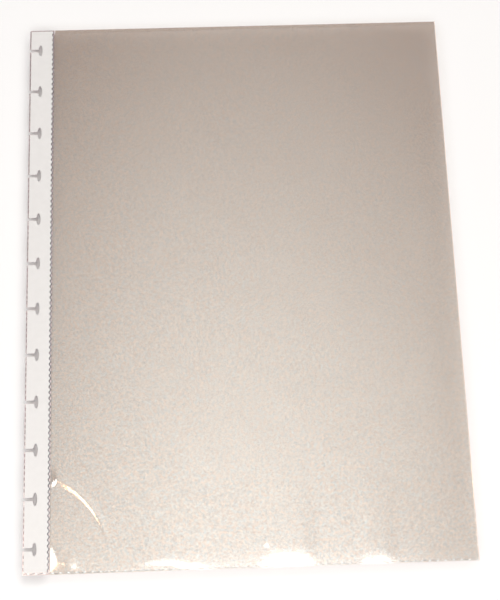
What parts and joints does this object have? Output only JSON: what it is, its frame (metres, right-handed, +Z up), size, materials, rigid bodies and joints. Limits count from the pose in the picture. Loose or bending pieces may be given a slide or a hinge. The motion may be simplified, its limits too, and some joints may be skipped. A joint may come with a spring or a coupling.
{
  "type": "sheet protector",
  "caption": "Clear top-loading page pocket, folded from film and welded to a white binding strip punched with mushroom slots that clip over binding discs.",
  "frame": {"origin": "middle of the page, on the back face that lies on the table", "axes": "+X from the binding strip across to the fold, +Y up the page to the open mouth, +Z up out of the front of the page"},
  "size_m": [0.232, 0.305, 0.0008],
  "materials": {
    "clear_film": "clear polypropylene film with a fine anti-glare grain",
    "white_strip": "opaque white plastic strip, semi-gloss",
    "weld": "melted film, glossy and slightly grey"
  },
  "bodies": {
    "binding": {"margin_film": "clear_film", "margin_lands": "clear_film", "margin_tabs": "clear_film", "binding_strip": "white_strip", "outer_edge_weld": "weld", "binding_weld": "weld", "strip_foot_weld": "weld"},
    "pocket": {"back_panel": "clear_film", "side_fold": "clear_film", "spine_rise": "clear_film", "foot_rise": "clear_film", "front_panel": "clear_film", "bottom_weld": "weld"},
    "mouth": {"mouth_flap": "clear_film"}
  },
  "joints": [
    {"name": "pocket_turn", "type": "hinge", "parent": "binding", "child": "pocket", "pos_m": [-0.1021, 0, 0.00047], "axis": [0, -1, 0], "range_deg": [0, 150]},
    {"name": "mouth_open", "type": "hinge", "parent": "pocket", "child": "mouth", "pos_m": [0.01022, 0.03, 0.00075], "axis": [1, 0, 0], "range_deg": [0, 10], "stiffness_Nm_per_rad": 0.005}
  ]
}
